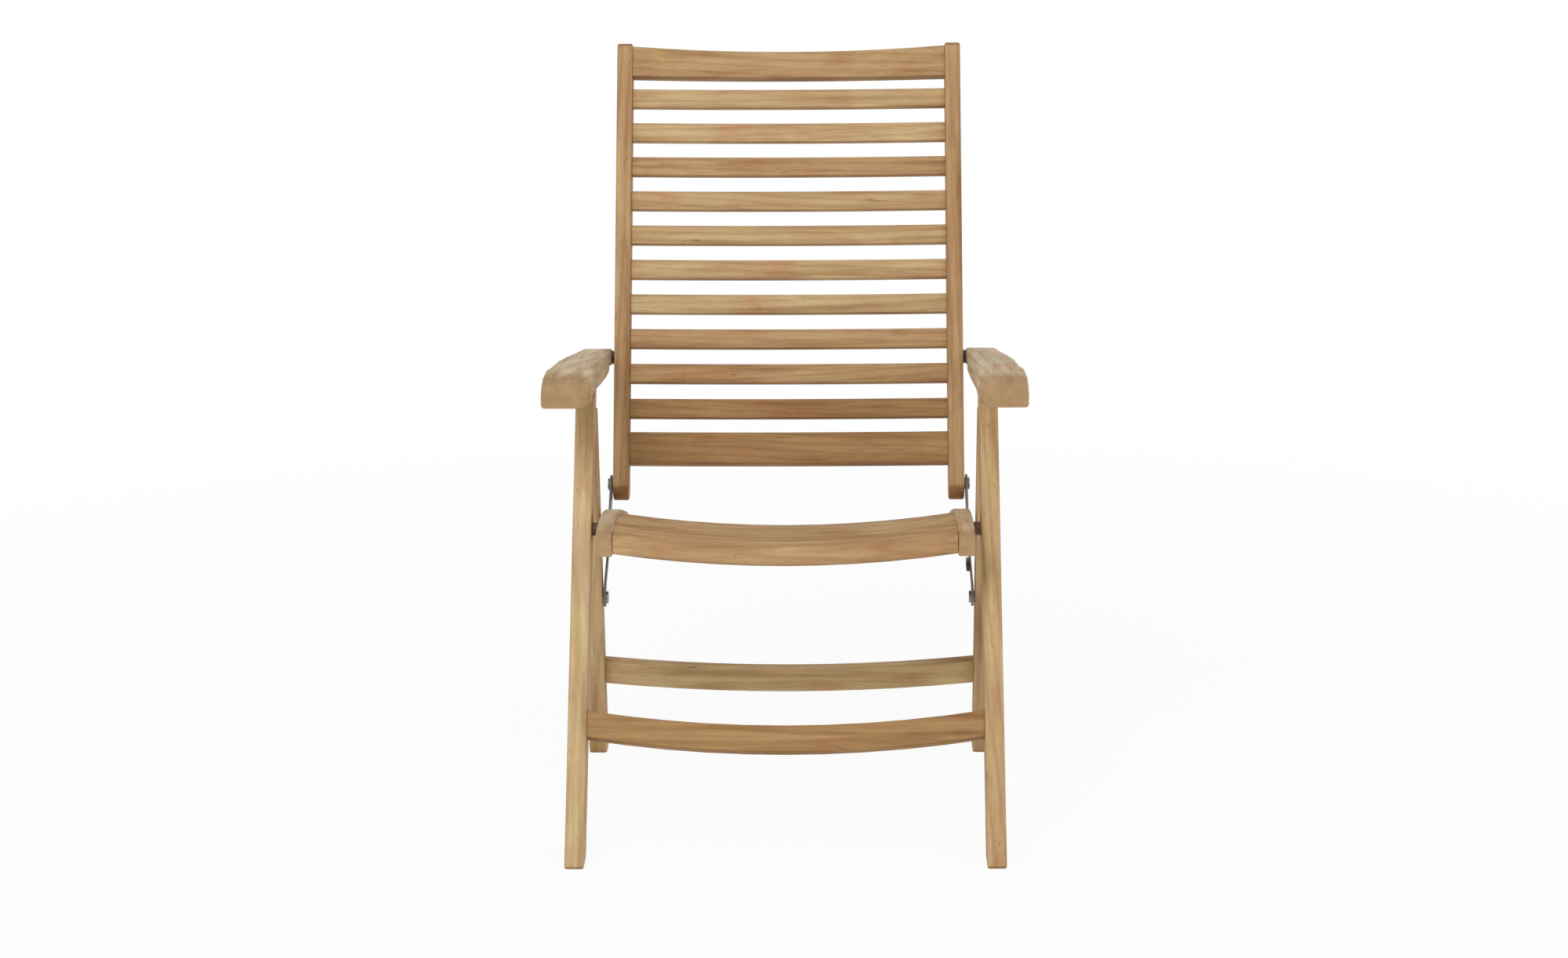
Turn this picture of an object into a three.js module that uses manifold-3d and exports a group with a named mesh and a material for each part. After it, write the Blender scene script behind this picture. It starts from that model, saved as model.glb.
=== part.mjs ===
import * as THREE from "three";
import { mergeVertices } from "three/addons/utils/BufferGeometryUtils.js";
import Module from "manifold-3d";

// A folding teak armchair, open for sitting, with its back in the lowest notch.
// Lengths are in millimetres and angles in degrees. +Z is up and the front faces -Y.
// Side points are (y, z) with y counted back from the front leg's foot.

// Stock and clearances
const GAP = 0.3;
const BOARD = 25;
const RAIL_BOARD = 22;
const EDGE = 2.6;
const SLAT_EDGE = 3;
const RUN = 0.35;
const WELD = 0.0003;

// Layers from the middle outwards
const INSIDE_HALF = 223.5;
const SIDE_SPACE = 12.5;
const PLATE = 3;
const PLATE_STAND = 1.6;
const ARM_STAND = 4.5;
const RAIL_OUTER = INSIDE_HALF + RAIL_BOARD;
const LEG_INNER = RAIL_OUTER + SIDE_SPACE;
const LEG_OUTER = LEG_INNER + BOARD;
const LEG_MIDDLE = LEG_INNER + BOARD / 2;
const ARM_INNER = RAIL_OUTER + ARM_STAND;
const PLATE_NEAR = RAIL_OUTER + PLATE_STAND;
const PLATE_FAR = LEG_INNER - PLATE_STAND - PLATE;

// Legs: a lean is counted backwards from upright
const FRONT_LEAN = 33.74;
const FRONT_WIDTH = 44;
const REAR_LEAN = -13.6;
const REAR_WIDTH = 42;
const FOOT_EDGE = 4.5;
const KNUCKLE_DROP = 62;
const KNUCKLE_R = 19;
const KNUCKLE_CLEAR = 0.9;
const TONGUE = 14;
const TONGUE_R = 10;
const SHOULDER_CLEAR = 0.9;

// Seat
const SEAT_PIVOT_Z = 381;
const RAIL_DEPTH = 38;
const RAIL_NOSE = 28;
const RAIL_END_R = 18.5;
const SEAT_NOSE = 143;
const SEAT_RISE = 73.5;
// The rail's top: how far back from the nose, and how high above the link, as shares
const RAIL_TOP_SHARES = [
  [0, 0.762],
  [0.025, 0.912],
  [0.0748, 0.98],
  [0.2133, 1],
  [0.3435, 0.952],
  [0.5734, 0.776],
  [0.795, 0.517],
];
const SEAT_SAG = 16.5;
const SEAT_SLATS = 6;
const SEAT_SLAT_SPACE = 11.5;
const SEAT_SLAT_WIDTH = 34;
const SEAT_SLAT_THICK = 15;
const SEAT_SLAT_DROP = 3;
const SEAT_SLAT_SINK = 1;
const FRONT_SLAT_WIDTH = 74;
const FRONT_SLAT_THICK = 22;
const FRONT_SLAT_NOSE = 9;

// Linkage between the rear leg, the seat rail and the back
const REAR_LINK_Z = 237;
const SEAT_LINK_BACK = 504;
const SEAT_LINK_Z = 335;
const BACK_LINK_BACK = 560;
const BACK_LINK_Z = 379.5;
const PLATE_END_R = 13;
const CRANK_FROM = 252;
const CRANK_TO = 320;
const LINK_BOLT_R = 4;
const LINK_HEAD_R = 8.5;
const LINK_HEAD = 3;
const LINK_GRIP = 14;
const LINK_COLLAR = 1;
const PIVOT_R = 4;
const SPACER_R = 9;
const SEAT_GRIP = 18;
const CATCH_Z = 283;
const CATCH_R = 7;
const CATCH_LENGTH = 24;
const CATCH_THICK = 5.6;

// Back
const BACK_LEAN = 24.84;
const STILE_WIDTH = 45;
const STILE_LENGTH = 646.4;
const STILE_TIP_R = 13;
const STILE_FRONT_DROP = 9;
const RAIL_HEIGHT = 45.5;
const BACK_RAIL_THICK = 22;
const BACK_RAIL_OFFSET = -8;
const BOTTOM_RAIL_AT = 48.6;
const TOP_RAIL_DROP = 30.3;
const TOP_SCOOP = 6;
const BACK_SLATS = 10;
const BACK_LOW_SPACE = 21.3;
const BACK_HIGH_SPACE = 17.4;
const BACK_SLAT_WIDTH = 27.7;
const BACK_SLAT_THICK = 14;
const SLAT_BOW = 5;
const RAIL_BOW = 9;
const NOTCH_PIN_R = 4;
const NOTCH_PIN_REACH = 21;
const WASHER_R = 9.5;

// Arms
const ARM_FRONT = 172;
const ARM_LENGTH = 493;
const ARM_HUMP_Z = 607;
const ARM_DROP = 54;
const ARM_PIVOT_DROP = 39;
const NOTCH_PIN_DROP = 61.3;
const ARM_THICK = 36;
const ARM_WIDTH = 64.5;
// Against the share of the arm's length: the fall from the hump, the thickness, the width
const ARM_FALL_SHARES = [
  [0, 0.352],
  [0.0243, 0.185],
  [0.0669, 0.074],
  [0.1217, 0.009],
  [0.1805, 0],
  [0.2596, 0.083],
  [0.4625, 0.343],
  [1, 1],
];
const ARM_THICK_SHARES = [
  [0, 0.588],
  [0.0568, 0.885],
  [0.1785, 1.03],
  [0.4178, 0.988],
  [0.6998, 0.924],
  [0.8682, 0.785],
  [1, 0.618],
];
const ARM_WIDTH_SHARES = [
  [0, 1],
  [0.0669, 0.995],
  [0.1217, 0.96],
  [0.17, 0.87],
  [0.2596, 0.85],
  [0.3976, 0.872],
  [0.5923, 0.825],
  [0.8032, 0.74],
  [1, 0.67],
];
const ARM_CORNER = 16;
const ARM_EDGE = 4;
const ARM_TURN = 18;
const ARM_PIN_R = 4;
const ARM_PIN_OVER = 14;
const NOTCHES = 4;
const NOTCH_PITCH = 16.1;
const NOTCH_DEPTH = 30;
const NOTCH_RAMP = 42;
const NOTCH_WALL = 32;
const NOTCH_SLOPE = 5;

// Stretchers
const STRETCHER_HEIGHT = 36.4;
const STRETCHER_THICK = 17.5;
const STRETCHER_INSET = 4;
const FRONT_STRETCHER_Z = 152;
const REAR_STRETCHER_Z = 121;
const FRONT_STRETCHER_SAG = 20.5;
const REAR_STRETCHER_SAG = 14;

// How finely curves are cut
const BEVEL_CUTS = 2;
const FEW_CUTS = 3;
const ARC_CUTS = 8;
const ROUND_CUTS = 20;
const BEND_CUTS = 10;
const CORNER_CUTS = 2;

// Colours
const TEAK = { color: 0xc9a877, roughness: 0.62, metalness: 0 };
const STEEL = { color: 0x9b9b98, roughness: 0.35, metalness: 1 };
const BLACK = { color: 0x1c1a18, roughness: 0.5, metalness: 0 };

const wasm = await Module();
wasm.setup();
const chair = new THREE.Group();

const rad = THREE.MathUtils.degToRad;
const HALF_TURN = Math.PI;
const QUARTER_TURN = HALF_TURN / 2;
const point = (y, z) => new THREE.Vector2(y, z);
const step = (from, along, by) => from.clone().addScaledVector(along, by);
const SIDES = { left: -1, right: 1 };

// Directions in the side view: along a leaning piece upwards, and square to it
const upAlong = (lean) => point(Math.sin(lean), Math.cos(lean));
const squareTo = (along) => point(along.y, -along.x);
const FRONT_UP = upAlong(rad(FRONT_LEAN));
const FRONT_BACKWARD = squareTo(FRONT_UP);
const REAR_UP = upAlong(rad(REAR_LEAN));
const REAR_BACKWARD = squareTo(REAR_UP);
const BACK_UP = upAlong(rad(BACK_LEAN));
const BACK_BACKWARD = squareTo(BACK_UP);

// The point of a leaning line at a height
const atHeight = (from, along, z) => step(from, along, (z - from.y) / along.y);

// The value of a line of (share, value) pairs at a share
function valueAt(pairs, share) {
  const last = pairs.length - 1;
  let i = 1;
  while (i < last && pairs[i][0] < share) i += 1;
  const [s0, v0] = pairs[i - 1];
  const [s1, v1] = pairs[i];
  return v0 + ((v1 - v0) * (share - s0)) / (s1 - s0);
}

// Main side points
const FRONT_TOE = point(0, 0);
const FRONT_AXIS = step(FRONT_TOE, FRONT_BACKWARD, FRONT_WIDTH / 2);
const FRONT_HEEL = step(FRONT_TOE, FRONT_BACKWARD, FRONT_WIDTH);
const ARM_PIVOT = atHeight(FRONT_AXIS, FRONT_UP, ARM_HUMP_Z - ARM_PIVOT_DROP);
const KNUCKLE = atHeight(FRONT_HEEL, FRONT_UP, ARM_PIVOT.y - KNUCKLE_DROP);
const SEAT_PIVOT = atHeight(FRONT_AXIS, FRONT_UP, SEAT_PIVOT_Z);
const REAR_AXIS = step(KNUCKLE, REAR_BACKWARD, REAR_WIDTH / 2);
const REAR_HEEL = step(KNUCKLE, REAR_BACKWARD, REAR_WIDTH);
const REAR_LINK = atHeight(REAR_AXIS, REAR_UP, REAR_LINK_Z);
const SEAT_LINK_POINT = point(SEAT_LINK_BACK, SEAT_LINK_Z);
const BACK_LINK_POINT = point(BACK_LINK_BACK, BACK_LINK_Z);
const NOTCH_PIN = atHeight(BACK_LINK_POINT, BACK_UP, ARM_HUMP_Z - NOTCH_PIN_DROP);

function solidOf(geometry) {
  const bare = geometry.clone();
  bare.deleteAttribute("normal");
  bare.deleteAttribute("uv");
  const merged = mergeVertices(bare, WELD);
  return new wasm.Manifold(
    new wasm.Mesh({
      numProp: 3,
      vertProperties: new Float32Array(merged.attributes.position.array),
      triVerts: new Uint32Array(merged.index.array),
    }),
  );
}

function geometryOf(solid) {
  const mesh = solid.getMesh();
  const geometry = new THREE.BufferGeometry();
  const places = new Float32Array(mesh.vertProperties);
  geometry.setAttribute("position", new THREE.BufferAttribute(places, 3));
  geometry.setIndex(new THREE.BufferAttribute(new Uint32Array(mesh.triVerts), 1));
  return geometry;
}

function addPiece(name, geometry, look) {
  const flat = geometry.index ? geometry.toNonIndexed() : geometry;
  flat.computeVertexNormals();
  const mesh = new THREE.Mesh(flat, new THREE.MeshStandardMaterial(look));
  mesh.name = name;
  chair.add(mesh);
}

// A side outline made solid between two distances from the middle, with softened edges
function boardOf(shape, from, to, edge = EDGE, cuts = ARC_CUTS) {
  const low = Math.min(from, to);
  const geometry = new THREE.ExtrudeGeometry(shape, {
    depth: Math.abs(to - from) - edge - edge,
    curveSegments: cuts,
    bevelEnabled: edge > 0,
    bevelSize: edge,
    bevelThickness: edge,
    bevelOffset: -edge,
    bevelSegments: BEVEL_CUTS,
  });
  geometry.translate(0, 0, low + edge);
  const turned = new THREE.Matrix4().makeBasis(
    new THREE.Vector3(0, 1, 0),
    new THREE.Vector3(0, 0, 1),
    new THREE.Vector3(1, 0, 0),
  );
  return geometry.applyMatrix4(turned);
}

// A round bar across the chair at a side point
function barOf(at, radius, from, to, cuts = ROUND_CUTS) {
  const geometry = new THREE.CylinderGeometry(radius, radius, Math.abs(to - from), cuts);
  geometry.rotateZ(QUARTER_TURN);
  geometry.translate((from + to) / 2, at.x, at.y);
  return geometry;
}

const shapeOf = (points) => new THREE.Shape(points);

// A body of matching rings, closed by a fan over its first and last ring
function loftOf(rings) {
  const places = rings.flat().flatMap((p) => [p.x, p.y, p.z]);
  const count = rings[0].length;
  const faces = [];
  for (let r = 1; r < rings.length; r += 1) {
    for (let i = 0; i < count; i += 1) {
      const next = (i + 1) % count;
      const [a, b] = [(r - 1) * count + i, (r - 1) * count + next];
      const [c, d] = [r * count + i, r * count + next];
      faces.push(a, b, d, a, d, c);
    }
  }
  const top = (rings.length - 1) * count;
  for (let i = 1; i < count - 1; i += 1) {
    faces.push(0, i + 1, i, top, top + i, top + i + 1);
  }
  const geometry = new THREE.BufferGeometry();
  geometry.setAttribute("position", new THREE.Float32BufferAttribute(places, 3));
  geometry.setIndex(faces);
  return geometry;
}

// A rectangle with rounded corners, counter-clockwise from its lower left
function roundedRing(x0, x1, y0, y1, radius, cuts = CORNER_CUTS) {
  const corners = [
    [x0 + radius, y0 + radius],
    [x1 - radius, y0 + radius],
    [x1 - radius, y1 - radius],
    [x0 + radius, y1 - radius],
  ];
  return corners.flatMap(([x, y], corner) =>
    Array.from({ length: cuts + 1 }, (_, i) => {
      const turn = HALF_TURN + QUARTER_TURN * (corner + i / cuts);
      return point(x + radius * Math.cos(turn), y + radius * Math.sin(turn));
    }),
  );
}

// A board across the chair whose section keeps its shape while it bends towards `bend`
function bentBoard(section, half, bend, sag) {
  const rings = [];
  for (let i = 0; i <= BEND_CUTS; i += 1) {
    const share = (i + i) / BEND_CUTS - 1;
    const by = sag * (1 - share * share);
    rings.push(section.map((p) => new THREE.Vector3(share * half, p.x + bend.x * by, p.y + bend.y * by)));
  }
  return loftOf(rings);
}

// A section laid out from a centre, `up` being its height direction
function sectionAt(centre, up, width, thick, radius) {
  const across = squareTo(up);
  const ring = roundedRing(-thick / 2, thick / 2, -width / 2, width / 2, radius);
  return ring.map((p) => step(step(centre, across, p.x), up, p.y));
}

const joined = (geometries) => geometries.map(solidOf).reduce((a, b) => a.add(b));
const without = (solid, tools) => tools.reduce((a, b) => a.subtract(solidOf(b)), solid);

// Arm heights and widths at a distance back
const armShare = (y) => (y - ARM_FRONT) / ARM_LENGTH;
const armTop = (y) => ARM_HUMP_Z - ARM_DROP * valueAt(ARM_FALL_SHARES, armShare(y));
const armUnder = (y) => armTop(y) - ARM_THICK * valueAt(ARM_THICK_SHARES, armShare(y));
const armOuter = (y) => ARM_INNER + ARM_WIDTH * valueAt(ARM_WIDTH_SHARES, armShare(y));

// The underside's slope over the front leg, and its distance from the arm's pivot
function armSlope() {
  const [before, after] = [ARM_PIVOT.x - FRONT_WIDTH / 2, ARM_PIVOT.x + FRONT_WIDTH / 2];
  return Math.atan2(armUnder(after) - armUnder(before), after - before);
}

function armUnderPivot() {
  return (ARM_PIVOT.y - armUnder(ARM_PIVOT.x)) * Math.cos(armSlope());
}

// Front legs
function shoulder(slope) {
  const along = point(Math.cos(slope), Math.sin(slope));
  const foot = step(ARM_PIVOT, squareTo(along), armUnderPivot() + SHOULDER_CLEAR);
  return { foot, along };
}

function crossing(a, along, b, other) {
  const spread = along.x * other.y - along.y * other.x;
  const gap = b.clone().sub(a);
  return step(a, along, (gap.x * other.y - gap.y * other.x) / spread);
}

function frontLegShape() {
  const rest = shoulder(armSlope());
  const turned = shoulder(armSlope() + rad(ARM_TURN));
  const ground = point(1, 0);
  const heel = crossing(FRONT_HEEL, FRONT_UP, FRONT_TOE, ground);
  return shapeOf([
    step(FRONT_TOE, ground, FOOT_EDGE),
    step(heel, ground, -FOOT_EDGE),
    step(heel, FRONT_UP, FOOT_EDGE),
    crossing(FRONT_HEEL, FRONT_UP, rest.foot, rest.along),
    crossing(rest.foot, rest.along, turned.foot, turned.along),
    crossing(FRONT_TOE, FRONT_UP, turned.foot, turned.along),
    step(FRONT_TOE, FRONT_UP, FOOT_EDGE),
  ]);
}

// A strip with round ends around a line of side points
function capsule(from, to, radius) {
  const heading = Math.atan2(to.y - from.y, to.x - from.x);
  const start = heading + QUARTER_TURN;
  const shape = new THREE.Shape();
  shape.absarc(from.x, from.y, radius, start, start + HALF_TURN);
  shape.absarc(to.x, to.y, radius, start - HALF_TURN, start);
  return shape;
}

const circle = (at, radius) => {
  const shape = new THREE.Shape();
  shape.absarc(at.x, at.y, radius, 0, HALF_TURN + HALF_TURN);
  return shape;
};

// The legs are halved into each other round the knuckle: an ear stays, a pocket goes
function halved(body, side, face, outer, pocketEnd) {
  const ear = boardOf(circle(KNUCKLE, KNUCKLE_R), side * face, side * outer, SHOULDER_CLEAR);
  const room = circle(KNUCKLE, KNUCKLE_R + KNUCKLE_CLEAR);
  const pocket = boardOf(room, side * face, side * pocketEnd, 0);
  return without(body, [pocket]).add(solidOf(ear));
}

function frontLeg(side) {
  const low = step(ARM_PIVOT, FRONT_UP, -FRONT_WIDTH);
  const tongue = boardOf(
    capsule(low, ARM_PIVOT, TONGUE_R),
    side * (LEG_MIDDLE - TONGUE / 2),
    side * (LEG_MIDDLE + TONGUE / 2),
    SHOULDER_CLEAR,
  );
  const body = joined([boardOf(frontLegShape(), side * LEG_INNER, side * LEG_OUTER), tongue]);
  const cut = [
    barOf(ARM_PIVOT, ARM_PIN_R + GAP / 2, side * ARM_INNER, side * (LEG_OUTER + ARM_PIN_OVER)),
    barOf(KNUCKLE, PIVOT_R + GAP / 2, side * (LEG_INNER - GAP), side * (LEG_OUTER - PLATE)),
    barOf(SEAT_PIVOT, PIVOT_R + GAP / 2, side * (LEG_INNER - GAP), side * (LEG_INNER + SEAT_GRIP + GAP)),
  ];
  return without(halved(body, side, LEG_MIDDLE + GAP / 2, LEG_OUTER, LEG_INNER - GAP), cut);
}

// Rear legs
function rearLegShape() {
  const ground = point(1, 0);
  const toe = crossing(KNUCKLE, REAR_UP, FRONT_TOE, ground);
  const heel = crossing(REAR_HEEL, REAR_UP, FRONT_TOE, ground);
  return shapeOf([
    step(toe, ground, FOOT_EDGE),
    step(heel, ground, -FOOT_EDGE),
    step(heel, REAR_UP, FOOT_EDGE),
    REAR_HEEL,
    KNUCKLE,
    step(toe, REAR_UP, FOOT_EDGE),
  ]);
}

function rearLeg(side) {
  const body = solidOf(boardOf(rearLegShape(), side * LEG_INNER, side * LEG_OUTER));
  const cut = [
    barOf(KNUCKLE, PIVOT_R + GAP / 2, side * (LEG_INNER - GAP), side * (LEG_OUTER + GAP)),
    barOf(REAR_LINK, LINK_BOLT_R + GAP / 2, side * (LEG_INNER - GAP), side * (LEG_INNER + LINK_GRIP + GAP)),
  ];
  return without(halved(body, side, LEG_MIDDLE - GAP / 2, LEG_INNER, LEG_OUTER + GAP), cut);
}

// Seat rails, with a shallow nose and a round rear end on the link bolt
const SEAT_LENGTH = SEAT_LINK_BACK - SEAT_NOSE;
const railShare = (y) => (y - SEAT_NOSE) / SEAT_LENGTH;
const railTop = (y) => SEAT_LINK_Z + SEAT_RISE * valueAt(RAIL_TOP_SHARES, railShare(y));

function seatRailShape() {
  const tops = RAIL_TOP_SHARES.map(([back, rise]) => {
    return point(SEAT_NOSE + SEAT_LENGTH * back, SEAT_LINK_Z + SEAT_RISE * rise);
  });
  const [tip, brow, ...along] = tops;
  const end = along.pop();
  const tail = SEAT_LINK_POINT.clone().sub(end);
  const heading = Math.atan2(tail.y, tail.x);
  const shape = new THREE.Shape();
  shape.moveTo(tip.x, tip.y - RAIL_NOSE / 2);
  shape.splineThru(along.slice(1).map((p) => point(p.x, p.y - RAIL_DEPTH)));
  const { x, y } = SEAT_LINK_POINT;
  shape.absarc(x, y, RAIL_END_R, heading - QUARTER_TURN, heading + QUARTER_TURN);
  shape.splineThru(along.reverse());
  shape.lineTo(brow.x, brow.y);
  shape.lineTo(tip.x, tip.y);
  return shape;
}

function seatRail(side) {
  const body = solidOf(boardOf(seatRailShape(), side * INSIDE_HALF, side * RAIL_OUTER, EDGE, FEW_CUTS));
  const outer = side * (RAIL_OUTER + GAP);
  return without(body, [
    barOf(SEAT_PIVOT, PIVOT_R + RUN, side * (RAIL_OUTER - SEAT_GRIP - GAP), outer),
    barOf(SEAT_LINK_POINT, LINK_BOLT_R + GAP / 2, side * (RAIL_OUTER - LINK_GRIP - GAP), outer),
  ]);
}

// Seat slats
const SEAT_SLAT_FIRST = SEAT_NOSE + FRONT_SLAT_WIDTH + SEAT_SLAT_SPACE + SEAT_SLAT_WIDTH / 2;

function seatSlat(i) {
  const y = SEAT_SLAT_FIRST + (SEAT_SLAT_WIDTH + SEAT_SLAT_SPACE) * i;
  const before = railTop(y - SEAT_SLAT_WIDTH / 2);
  const after = railTop(y + SEAT_SLAT_WIDTH / 2);
  const along = point(SEAT_SLAT_WIDTH, after - before).normalize();
  const drop = SEAT_SLAT_DROP + SEAT_SLAT_SINK * i + SEAT_SLAT_THICK / 2;
  const centre = step(point(y, (before + after) / 2), squareTo(along), drop);
  const section = sectionAt(centre, along, SEAT_SLAT_WIDTH, SEAT_SLAT_THICK, SLAT_EDGE);
  return bentBoard(section, INSIDE_HALF - GAP, squareTo(along), SEAT_SAG);
}

// The wide front slat with its round nose
function frontSlat() {
  const [from, to] = [SEAT_NOSE, SEAT_NOSE + FRONT_SLAT_WIDTH];
  const top = railTop(to) - SEAT_SLAT_DROP;
  const base = top - FRONT_SLAT_THICK;
  const low = base - FRONT_SLAT_NOSE / 2;
  const shape = new THREE.Shape();
  shape.moveTo(to, base);
  shape.lineTo(to, top - SLAT_EDGE);
  shape.lineTo(to - SLAT_EDGE, top);
  shape.lineTo(from + FRONT_SLAT_NOSE + FRONT_SLAT_NOSE, top);
  shape.quadraticCurveTo(from, top - SLAT_EDGE, from, low + FRONT_SLAT_NOSE);
  shape.quadraticCurveTo(from, low, from + FRONT_SLAT_NOSE, low);
  const section = shape.getPoints(CORNER_CUTS + CORNER_CUTS);
  return bentBoard(section, INSIDE_HALF - GAP, point(0, -1), SEAT_SAG);
}

// Back stiles
function stileShape() {
  const half = STILE_WIDTH / 2;
  const place = (along, across) => step(step(BACK_LINK_POINT, BACK_UP, along), BACK_BACKWARD, across);
  const shape = new THREE.Shape();
  const start = HALF_TURN - rad(BACK_LEAN);
  shape.absarc(BACK_LINK_POINT.x, BACK_LINK_POINT.y, half, start, start + HALF_TURN);
  const corners = [
    [STILE_LENGTH - STILE_TIP_R - STILE_TIP_R, half],
    [STILE_LENGTH - STILE_TIP_R / 2, half - STILE_TIP_R / 2],
    [STILE_LENGTH, half - STILE_TIP_R - STILE_TIP_R / 2],
    [STILE_LENGTH - STILE_FRONT_DROP + EDGE + EDGE, EDGE - half + EDGE],
    [STILE_LENGTH - STILE_FRONT_DROP, -half],
  ].map(([along, across]) => place(along, across));
  shape.lineTo(corners[0].x, corners[0].y);
  shape.quadraticCurveTo(...place(STILE_LENGTH - EDGE, half).toArray(), corners[2].x, corners[2].y);
  shape.lineTo(corners[3].x, corners[3].y);
  shape.lineTo(corners[4].x, corners[4].y);
  return shape;
}

function stile(side) {
  const body = solidOf(boardOf(stileShape(), side * INSIDE_HALF, side * RAIL_OUTER));
  const outer = side * (RAIL_OUTER + GAP);
  const cut = [
    barOf(BACK_LINK_POINT, LINK_BOLT_R + RUN, side * (RAIL_OUTER - LINK_GRIP - GAP), outer),
    barOf(NOTCH_PIN, NOTCH_PIN_R + GAP / 2, side * (RAIL_OUTER - LINK_GRIP - GAP), outer),
  ];
  return without(body, cut);
}

// Boards across the back, bowed away from the sitter
function backBoard(along, height, thick, bow) {
  const centre = step(step(BACK_LINK_POINT, BACK_UP, along), BACK_BACKWARD, BACK_RAIL_OFFSET);
  const section = sectionAt(centre, BACK_UP, height, thick, SLAT_EDGE);
  return bentBoard(section, INSIDE_HALF - GAP, BACK_BACKWARD, bow);
}

// The top rail's upper edge dips in the middle
function topRail() {
  const at = step(BACK_LINK_POINT, BACK_UP, STILE_LENGTH - TOP_RAIL_DROP);
  const centre = step(at, BACK_BACKWARD, BACK_RAIL_OFFSET);
  const half = INSIDE_HALF - GAP;
  const [thick, high] = [BACK_RAIL_THICK / 2, RAIL_HEIGHT / 2];
  const rings = [];
  for (let i = 0; i <= BEND_CUTS; i += 1) {
    const share = (i + i) / BEND_CUTS - 1;
    const middleShare = 1 - share * share;
    const ring = roundedRing(-thick, thick, -high, high - TOP_SCOOP * middleShare, SLAT_EDGE);
    rings.push(
      ring.map((p) => {
        const bowed = step(centre, BACK_BACKWARD, p.x + RAIL_BOW * middleShare);
        const place = step(bowed, BACK_UP, p.y);
        return new THREE.Vector3(share * half, place.x, place.y);
      }),
    );
  }
  return loftOf(rings);
}

// Arms
function armStations() {
  const tables = [ARM_FALL_SHARES, ARM_THICK_SHARES, ARM_WIDTH_SHARES];
  const marks = tables.flatMap((table) => table.map(([share]) => ARM_FRONT + ARM_LENGTH * share));
  const corner = Array.from({ length: ARC_CUTS / 2 }, (_, i) => {
    const turn = (QUARTER_TURN * (i + 1)) / (ARC_CUTS / 2);
    return ARM_FRONT + ARM_CORNER * (1 - Math.cos(turn));
  });
  return [...new Set([...marks, ...corner])].sort((a, b) => a - b);
}

function armInnerAt(y) {
  const share = Math.min(ARM_CORNER, Math.max(0, ARM_FRONT + ARM_CORNER - y)) / ARM_CORNER;
  return ARM_INNER + ARM_CORNER - ARM_CORNER * Math.cos(Math.asin(share));
}

function armBody(side) {
  const rings = armStations().map((y) => {
    const ring = roundedRing(armInnerAt(y), armOuter(y), armUnder(y), armTop(y), ARM_EDGE);
    return (side > 0 ? ring : ring.reverse()).map((p) => new THREE.Vector3(side * p.x, y, p.y));
  });
  return loftOf(rings.reverse());
}

// A saw-tooth notch whose round top holds the pin
function notchShape(centre) {
  const reach = NOTCH_PIN_R + GAP;
  const ramp = HALF_TURN + rad(NOTCH_RAMP);
  const wall = HALF_TURN + QUARTER_TURN + rad(NOTCH_WALL);
  return wedge(centre, reach, NOTCH_DEPTH, ramp, wall);
}

// A wedge that opens from a round top between two directions
function wedge(centre, reach, depth, first, second) {
  const facing = (angle) => point(Math.cos(angle), Math.sin(angle));
  const from = first - QUARTER_TURN;
  const to = second + QUARTER_TURN;
  const shape = new THREE.Shape();
  const firstEnd = step(step(centre, facing(first), depth), facing(from), reach);
  const secondEnd = step(step(centre, facing(second), depth), facing(to), reach);
  shape.moveTo(firstEnd.x, firstEnd.y);
  shape.lineTo(secondEnd.x, secondEnd.y);
  shape.absarc(centre.x, centre.y, reach, to - HALF_TURN - HALF_TURN, from);
  return shape;
}

// The slot in the arm's underside that the front leg's tongue turns in
function tongueSlot(side) {
  const down = HALF_TURN + QUARTER_TURN - rad(FRONT_LEAN);
  const shape = wedge(ARM_PIVOT, TONGUE_R + GAP + GAP, FRONT_WIDTH, down - rad(ARM_TURN), down);
  const half = TONGUE / 2 + GAP;
  return boardOf(shape, side * (LEG_MIDDLE - half), side * (LEG_MIDDLE + half), 0);
}

function armrest(side) {
  const pinEnd = side * (LEG_OUTER + ARM_PIN_OVER + GAP);
  const pinHole = barOf(ARM_PIVOT, ARM_PIN_R + RUN, side * (ARM_INNER - GAP), pinEnd);
  const tools = [tongueSlot(side), pinHole];
  const turn = HALF_TURN - rad(NOTCH_SLOPE);
  const along = point(Math.cos(turn), Math.sin(turn));
  for (let i = 0; i < NOTCHES; i += 1) {
    const shape = notchShape(step(NOTCH_PIN, along, NOTCH_PITCH * i));
    const [inner, outer] = [side * (ARM_INNER - BOARD), side * (ARM_INNER + BOARD)];
    tools.push(boardOf(shape, inner, outer, 0, FEW_CUTS));
  }
  return without(solidOf(armBody(side)), tools);
}

// Link plates: a dog-leg strip, cranked outwards towards the rear leg
function linkPlate(side) {
  const legs = [
    [REAR_LINK, SEAT_LINK_POINT],
    [SEAT_LINK_POINT, BACK_LINK_POINT],
  ];
  const outline = legs
    .map(([from, to]) => capsule(from, to, PLATE_END_R))
    .map((shape) => solidOf(boardOf(shape, side * RAIL_OUTER, side * LEG_INNER, 0)))
    .reduce((a, b) => a.add(b));
  const fixed = LINK_BOLT_R + GAP / 2;
  return without(outline.intersect(crankProfile(side, PLATE_NEAR, PLATE_FAR)), [
    barOf(REAR_LINK, LINK_BOLT_R + RUN, side * RAIL_OUTER, side * LEG_INNER),
    barOf(SEAT_LINK_POINT, fixed, side * RAIL_OUTER, side * LEG_INNER),
    barOf(BACK_LINK_POINT, fixed, side * RAIL_OUTER, side * LEG_INNER),
  ]);
}

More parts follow.
